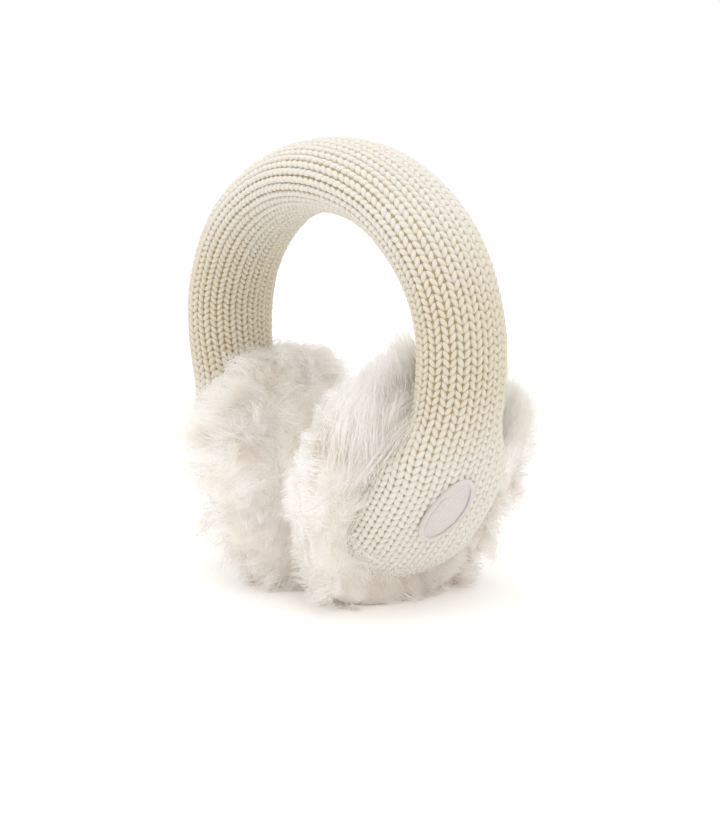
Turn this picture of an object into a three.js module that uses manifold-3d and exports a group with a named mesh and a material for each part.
// Fur-lined earmuffs: a padded headband in thick stockinette knit. The knit tube arches over the
// head and flares at both ends into leaf-shaped ear cups that toe in towards the front. Each cup
// carries a deep pad of long fur on its inner face, and the right cup has a plain oval patch.
// Millimetres, +Z up. The pads stand on z = 0, X runs from ear to ear and -Y is the front.

import * as THREE from 'three';
import { mergeVertices } from 'three/addons/utils/BufferGeometryUtils.js';
import Module from 'manifold-3d';

// Run of the band: three arcs that follow each other from the crown to the tip of a cup
const CREST_HEIGHT = 188;          // height of the band's centre line at the crown
const CROWN_ARC = { radius: 72.5, turn: 88 };
const SIDE_ARC = { radius: 112, turn: 14.5 };
const CUP_ARC = { radius: 155, turn: 36.6 };
const TOE_IN = 13;                 // turn of the cups about the band's run, front edges inwards
const TOE_START = 95;              // where that turn begins and where it is whole, from the crown
const TOE_END = 188;
const TIP_ROUNDING = 40;           // length over which a cup closes to its rounded tip

// Half sizes of the knit's section, by distance along the run from the crown
const KNIT_ROWS = [
  { run: 0, thick: 16.8, deep: 29.5 },
  { run: 47, thick: 16.0, deep: 26.0 },
  { run: 94, thick: 15.8, deep: 23.6 },
  { run: 137, thick: 16.0, deep: 23.0 },
  { run: 170, thick: 15.0, deep: 34.4 },
  { run: 203, thick: 13.6, deep: 34.0 },
  { run: 236, thick: 12.0, deep: 28.0 },
];
const WALES = 19;                  // columns of stitches round the band
const WALE_RELIEF = 0.8;           // depth of the groove between two columns
const BODY_RINGS = 15;             // rings from the crown to where the cup starts to close
const TIP_RINGS = 8;               // rings over the rounded tip

// Right fur pad by height, fur included: where its widest part lies, how far that is set to the
// back, its half width from front to back, how far it swells in towards the head and how far it
// comes round the cup's edge
const FUR_ROWS = [
  { height: -14, middle: 26, set: 6, wide: 22, inward: 26, wrap: 12 },
  { height: 0, middle: 30, set: 4, wide: 34, inward: 29, wrap: 8 },
  { height: 9, middle: 33, set: 3, wide: 45, inward: 33, wrap: 5 },
  { height: 30, middle: 38, set: 1, wide: 56, inward: 37, wrap: 3 },
  { height: 56, middle: 45, set: 1, wide: 65, inward: 36, wrap: 6 },
  { height: 74, middle: 50, set: 1, wide: 62, inward: 33, wrap: 8 },
  { height: 92, middle: 53, set: 1, wide: 53, inward: 27, wrap: 7 },
  { height: 114, middle: 55, set: 1, wide: 36, inward: 18, wrap: 4 },
];
const BACKING_TOP = 98;            // height of the padded body under the fur
const BACKING_DOME = 6;            // how far its top swells above that
const BACKING_MIDDLE = 4;          // how far in from the cup the dome's highest point lies
const BACKING_MESH = { bands: 6, sides: 18 };
const LOCK_REACH = 15;             // how far the locks stand out from the backing
const LOCK_SIZE = { length: 26, root: 10.5, sides: 5 };
const LOCK_ROWS = [
  { height: 10, count: 6, rise: -0.5, size: 0.66 },
  { height: 27, count: 7, rise: -0.35, size: 0.95 },
  { height: 45, count: 7, rise: -0.15, size: 1.05 },
  { height: 62, count: 7, rise: 0.05, size: 1.05 },
  { height: 79, count: 7, rise: 0.35, size: 1 },
  { height: 94, count: 6, rise: 1.2, size: 1.05 },
];
const LOCK_SPAN = 115;             // turn of the outermost locks, from the middle of the inner face
const EDGE_DROP = 15;              // how much lower the top row sits at the pad's front and back edges
const EDGE_RISE_LOSS = 0.7;        // share of a row's rise lost at those edges
const LOCK_CHANCE = { rise: 0.2, sideways: 0.7, length: 0.14, radius: 0.12 };
const LOCK_DROOP = 0.3;            // how far a lock's tip bends, as a share of its length
const TOP_LIFT = 0.4;              // upward pull on the tips of the top row
const ROOT_OVERLAP = 1.5;          // how far past the backing's skin a lock's reach is counted
const SEAT_GAP = 0.3;              // gap between a pad and the knit, and the patch and the knit
const MIDDLE_GAP = 0.5;            // gap between the two pads where their fur meets
const LOCK_SEEDS = { right: 4, left: 9 };
const BEYOND = 250;                // a length past the part's own size, for the room it is cut to

// Oval patch on the right cup, placed on the knit by its run and its distance round the surface
const PATCH = {
  run: 177.7, round: -2.3, long: 16.3, short: 10.1, tilt: 16, field: 0.9, border: 1.5, sides: 28,
};

const degrees = THREE.MathUtils.degToRad;

// A repeatable spread of values from -1 to 1
function spread(a, b) {
  const wave = Math.sin(a * 127.1 + b * 311.7) * 43758.5453;
  return 2 * (wave - Math.floor(wave)) - 1;
}

// Centre line in the XZ plane of the right half: point and heading at a distance from the crown
function centreLine(run) {
  let heading = 0;
  let x = 0;
  let z = CREST_HEIGHT;
  let left = run;
  for (const arc of [CROWN_ARC, SIDE_ARC, CUP_ARC]) {
    const last = arc === CUP_ARC;
    const whole = arc.radius * degrees(arc.turn);
    const step = last ? left : Math.min(left, whole);
    const next = heading + step / arc.radius;
    x += arc.radius * (Math.sin(next) - Math.sin(heading));
    z -= arc.radius * (Math.cos(heading) - Math.cos(next));
    heading = next;
    left -= step;
    if (left <= 0) break;
  }
  return { x, z, heading };
}
const HALF_RUN = [CROWN_ARC, SIDE_ARC, CUP_ARC]
  .reduce((sum, arc) => sum + arc.radius * degrees(arc.turn), 0);

// A table's column at any run or height, by smooth steps between its rows
function column(rows, name, where, key = 'run') {
  const last = rows[rows.length - 1];
  if (where <= rows[0][key]) return rows[0][name];
  if (where >= last[key]) return last[name];
  const i = rows.findIndex((row) => row[key] > where);
  const mix = (where - rows[i - 1][key]) / (rows[i][key] - rows[i - 1][key]);
  return THREE.MathUtils.lerp(rows[i - 1][name], rows[i][name], mix * mix * (3 - 2 * mix));
}

// Axes at a run: out is away from the head, across goes to the back, both turned by the toe-in
function axesAt(run) {
  const { x, z, heading } = centreLine(run);
  const toe = degrees(TOE_IN) * THREE.MathUtils.smoothstep(run, TOE_START, TOE_END);
  const level = new THREE.Vector3(Math.sin(heading), 0, Math.cos(heading));
  const back = new THREE.Vector3(0, 1, 0);
  return {
    at: new THREE.Vector3(x, 0, z),
    along: new THREE.Vector3(Math.cos(heading), 0, -Math.sin(heading)),
    out: level.clone().multiplyScalar(Math.cos(toe)).addScaledVector(back, -Math.sin(toe)),
    across: level.clone().multiplyScalar(Math.sin(toe)).addScaledVector(back, Math.cos(toe)),
  };
}

function place(run, across, out) {
  const axes = axesAt(run);
  return axes.at.addScaledVector(axes.across, across).addScaledVector(axes.out, out);
}

// Half sizes of the knit's section, closing to a rounded tip at the end of the cup
function knitSize(run) {
  const end = THREE.MathUtils.clamp((HALF_RUN - run) / TIP_ROUNDING, 0, 1);
  const round = Math.sqrt(1 - (1 - end) ** 2);
  return {
    thick: column(KNIT_ROWS, 'thick', run) * round,
    deep: column(KNIT_ROWS, 'deep', run) * round,
    round,
  };
}

// Angles round an ellipse that share out its length evenly, from the outermost point
function evenAngles(thick, deep, count) {
  const steps = 360;
  const lengths = [0];
  for (let i = 1; i <= steps; i += 1) {
    const angle = (2 * Math.PI * (i - 0.5)) / steps;
    const pace = Math.hypot(thick * Math.sin(angle), deep * Math.cos(angle));
    lengths.push(lengths[i - 1] + pace);
  }
  const angles = [];
  let i = 0;
  for (let k = 0; k < count; k += 1) {
    const wanted = (lengths[steps] * k) / count;
    while (lengths[i + 1] < wanted) i += 1;
    const share = (wanted - lengths[i]) / (lengths[i + 1] - lengths[i]);
    angles.push((2 * Math.PI * (i + share)) / steps);
  }
  return angles;
}

// One ring of the right half, with its grooves between the columns of stitches
function knitRing(run, grow, relief) {
  const { thick, deep, round } = knitSize(run);
  const count = WALES * 2;
  return evenAngles(thick, deep, count).map((angle, k) => {
    const groove = k % 2 ? -relief * round : 0;
    const size = grow + groove;
    return place(run, (deep + size) * Math.sin(angle), (thick + size) * Math.cos(angle));
  });
}

// Distances of the rings from the crown, closer together towards the rounded tip
function ringRuns() {
  const runs = [];
  const body = HALF_RUN - TIP_ROUNDING;
  for (let i = 0; i <= BODY_RINGS; i += 1) runs.push((body * i) / BODY_RINGS);
  for (let i = 1; i < TIP_RINGS; i += 1) {
    runs.push(body + TIP_ROUNDING * Math.sin((0.5 * Math.PI * i) / TIP_RINGS));
  }
  return runs;
}

function geometryOf(points, faces) {
  const geometry = new THREE.BufferGeometry();
  geometry.setAttribute('position', new THREE.Float32BufferAttribute(
    points.flatMap((point) => [point.x, point.y, point.z]), 3));
  geometry.setIndex(faces.flat());
  geometry.computeVertexNormals();
  return geometry;
}

// Volume inside a closed set of faces: negative where they face inwards
function volumeInside(points, faces) {
  return faces.reduce((sum, [a, b, c]) => {
    const normal = new THREE.Vector3().crossVectors(points[b], points[c]);
    return sum + points[a].dot(normal) / 6;
  }, 0);
}

// A closed skin over rings of equal count, with a point at each end, its faces turned outwards
function skin(rings, first, last) {
  const count = rings[0].length;
  const points = [...rings.flat(), first, last];
  const firstIndex = points.length - 2;
  const lastIndex = points.length - 1;
  const faces = [];
  for (let k = 0; k < count; k += 1) {
    const next = (k + 1) % count;
    faces.push([firstIndex, next, k]);
    const end = (rings.length - 1) * count;
    faces.push([lastIndex, end + k, end + next]);
    for (let i = 0; i + 1 < rings.length; i += 1) {
      const a = i * count;
      const b = a + count;
      faces.push([a + k, a + next, b + next], [a + k, b + next, b + k]);
    }
  }
  if (volumeInside(points, faces) < 0) faces.forEach((face) => face.reverse());
  return geometryOf(points, faces);
}

// The knit from the left tip over the crown to the right tip
function knitGeometry(grow = 0, relief = WALE_RELIEF) {
  const runs = ringRuns();
  const right = runs.map((run) => knitRing(run, grow, relief));
  const mirror = (ring) => ring.map((p) => new THREE.Vector3(-p.x, p.y, p.z));
  const rings = [...right.slice(1).map(mirror).reverse(), ...right];
  const tip = place(HALF_RUN + grow, 0, 0);
  return skin(rings, new THREE.Vector3(-tip.x, tip.y, tip.z), tip);
}

const wasm = await Module();
wasm.setup();

function solidOf(geometry) {
  const bare = geometry.index ? geometry.toNonIndexed() : geometry.clone();
  bare.deleteAttribute('normal');
  bare.deleteAttribute('uv');
  const merged = mergeVertices(bare, 1e-5);
  return new wasm.Manifold(new wasm.Mesh({
    numProp: 3,
    vertProperties: new Float32Array(merged.attributes.position.array),
    triVerts: new Uint32Array(merged.index.array),
  }));
}

function geometryFrom(solid) {
  const mesh = solid.getMesh();
  const geometry = new THREE.BufferGeometry();
  geometry.setAttribute('position', new THREE.BufferAttribute(mesh.vertProperties, 3));
  geometry.setIndex(new THREE.BufferAttribute(mesh.triVerts, 1));
  geometry.computeVertexNormals();
  return geometry;
}

function boxSolid(low, high) {
  const size = high.clone().sub(low);
  const box = new THREE.BoxGeometry(size.x, size.y, size.z);
  box.translate(low.x + size.x / 2, low.y + size.y / 2, low.z + size.z / 2);
  return solidOf(box);
}

// Axes of the right pad: level, turned by the toe-in
const PAD_OUT = new THREE.Vector3(Math.cos(degrees(TOE_IN)), -Math.sin(degrees(TOE_IN)), 0);
const PAD_ACROSS = new THREE.Vector3(Math.sin(degrees(TOE_IN)), Math.cos(degrees(TOE_IN)), 0);

// A point of the pad's form: turn is 0 at the middle of the inner face and 90 at the back edge
function furPoint(height, turn, inset) {
  const row = (name) => column(FUR_ROWS, name, height, 'height');
  const inwards = Math.cos(turn);
  const depth = inwards > 0 ? (row('inward') - inset) * inwards : row('wrap') * inwards;
  return new THREE.Vector3(row('middle'), row('set'), height)
    .addScaledVector(PAD_ACROSS, (row('wide') - inset) * Math.sin(turn))
    .addScaledVector(PAD_OUT, -depth);
}

// Backing: the padded body under the fur, closed at the top by a low dome
function backingSolid() {
  const low = FUR_ROWS[0].height;
  const rings = [];
  const { bands, sides } = BACKING_MESH;
  for (let i = 0; i <= bands; i += 1) {
    const height = low + ((BACKING_TOP - low) * i) / bands;
    const ring = [];
    for (let k = 0; k < sides; k += 1) {
      ring.push(furPoint(height, (2 * Math.PI * k) / sides, LOCK_REACH));
    }
    rings.push(ring);
  }
  const middle = (height) => {
    const inward = column(FUR_ROWS, 'inward', height, 'height');
    return furPoint(height, 0, inward - BACKING_MIDDLE);
  };
  return solidOf(skin(rings, middle(low), middle(BACKING_TOP + BACKING_DOME)));
}

// One lock: a bent, tapering tuft that starts inside the backing
function lockSolid(root, heading, droop, length, radius) {
  const side = new THREE.Vector3().crossVectors(heading, droop).normalize();
  const other = new THREE.Vector3().crossVectors(side, heading).normalize();
  const steps = [
    { along: 0, size: 0.85 },
    { along: 0.42, size: 1 },
    { along: 0.78, size: 0.58 },
  ];
  const pathAt = (along) => root.clone()
    .addScaledVector(heading, length * along)
    .addScaledVector(droop, length * LOCK_DROOP * along * along);
  const rings = steps.map(({ along, size }) => {
    const ring = [];
    for (let k = 0; k < LOCK_SIZE.sides; k += 1) {
      const angle = (2 * Math.PI * k) / LOCK_SIZE.sides;
      ring.push(pathAt(along)
        .addScaledVector(side, radius * size * Math.cos(angle))
        .addScaledVector(other, radius * size * Math.sin(angle)));
    }
    return ring;
  });
  return solidOf(skin(rings, pathAt(-0.05), pathAt(1)));
}

// Rows of locks over the inner face and round the edge, upright at the top and spread at the foot
function furLocks(seed) {
  const locks = [];
  const up = new THREE.Vector3(0, 0, 1);
  const top = LOCK_ROWS.length - 1;
  LOCK_ROWS.forEach(({ height, count, rise, size }, row) => {
    for (let k = 0; k < count; k += 1) {
      const shift = row % 2 ? 0.25 : -0.25;
      const share = (k + shift + 0.5) / count;
      const turn = degrees(LOCK_SPAN * (2 * share - 1));
      const edge = 1 - Math.cos(turn);
      const drop = row === top ? EDGE_DROP * edge : 0;
      const heading = PAD_OUT.clone().multiplyScalar(-Math.cos(turn))
        .addScaledVector(PAD_ACROSS, Math.sin(turn))
        .addScaledVector(up, rise * (1 - EDGE_RISE_LOSS * edge)
          + LOCK_CHANCE.rise * spread(row + seed, k))
        .normalize();
      const droop = new THREE.Vector3(0, 0, row === top ? TOP_LIFT : -1)
        .addScaledVector(PAD_ACROSS, LOCK_CHANCE.sideways * spread(k + seed, row));
      const longer = 1 + LOCK_CHANCE.length * spread(row + 3 + seed, k);
      const length = size * LOCK_SIZE.length * longer;
      const fuller = 1 + LOCK_CHANCE.radius * spread(row, k + 5 + seed);
      const radius = size * LOCK_SIZE.root * fuller;
      const sunk = length - size * LOCK_REACH - ROOT_OVERLAP;
      const root = furPoint(height - drop, turn, LOCK_REACH).addScaledVector(heading, -sunk);
      locks.push(lockSolid(root, heading, droop, length, radius));
    }
  });
  return locks;
}

// The whole pad, hollowed by the cup that it seats on, cut flat where it stands and at the middle
function furPad(seat, seed) {
  const body = [backingSolid(), ...furLocks(seed)].reduce((sum, solid) => sum.add(solid));
  const room = boxSolid(
    new THREE.Vector3(MIDDLE_GAP / 2, -BEYOND, 0),
    new THREE.Vector3(BEYOND, BEYOND, BEYOND),
  );
  const pad = body.subtract(seat).intersect(room);
  const pieces = pad.decompose();
  pieces.sort((a, b) => b.volume() - a.volume());
  return pieces[0];
}

// Point on the knit's outer face, by its run, distance round the surface and height above it
function facePoint(run, round, height) {
  const { thick, deep } = knitSize(run);
  const slice = degrees(0.05);
  let angle = 0;
  let length = 0;
  while (length < Math.abs(round) && angle < Math.PI / 2) {
    angle += slice;
    length += slice * Math.hypot(thick * Math.sin(angle), deep * Math.cos(angle));
  }
  angle *= Math.sign(round);
  return place(run, (deep + height) * Math.sin(angle), (thick + height) * Math.cos(angle));
}

// Oval patch: a flat stitched field inside a raised border, bent to the cup's face
function patchGeometry() {
  const profile = [
    { size: 0.4, height: PATCH.field },
    { size: 0.78, height: PATCH.field },
    { size: 0.84, height: PATCH.border },
    { size: 0.97, height: PATCH.border },
    { size: 1, height: 0 },
    { size: 0.5, height: 0 },
  ];
  const tilt = degrees(PATCH.tilt);
  const point = (size, angle, height) => {
    const long = PATCH.long * size * Math.cos(angle);
    const short = PATCH.short * size * Math.sin(angle);
    const up = long * Math.cos(tilt) - short * Math.sin(tilt);
    const round = long * Math.sin(tilt) + short * Math.cos(tilt);
    return facePoint(PATCH.run - up, PATCH.round + round, SEAT_GAP + height);
  };
  const rings = profile.map(({ size, height }) => {
    const ring = [];
    for (let k = 0; k < PATCH.sides; k += 1) {
      ring.push(point(size, (2 * Math.PI * k) / PATCH.sides, height));
    }
    return ring;
  });
  return skin(rings, point(0, 0, PATCH.field), point(0, 0, 0));
}

function piece(name, geometry, color, roughness) {
  const material = new THREE.MeshStandardMaterial({ color, roughness, metalness: 0 });
  const mesh = new THREE.Mesh(geometry, material);
  mesh.name = name;
  return mesh;
}

const seat = solidOf(knitGeometry(SEAT_GAP, 0));
const rightPad = furPad(seat, LOCK_SEEDS.right);
const leftPad = furPad(seat, LOCK_SEEDS.left).mirror([1, 0, 0]);

const earmuffs = new THREE.Group();
earmuffs.add(
  piece('knit_headband', knitGeometry(), 0xeae4d6, 0.95),
  piece('fur_pad_right', geometryFrom(rightPad), 0xece6df, 0.9),
  piece('fur_pad_left', geometryFrom(leftPad), 0xece6df, 0.9),
  piece('patch', patchGeometry(), 0xe2d9d2, 0.85),
);

export default earmuffs;
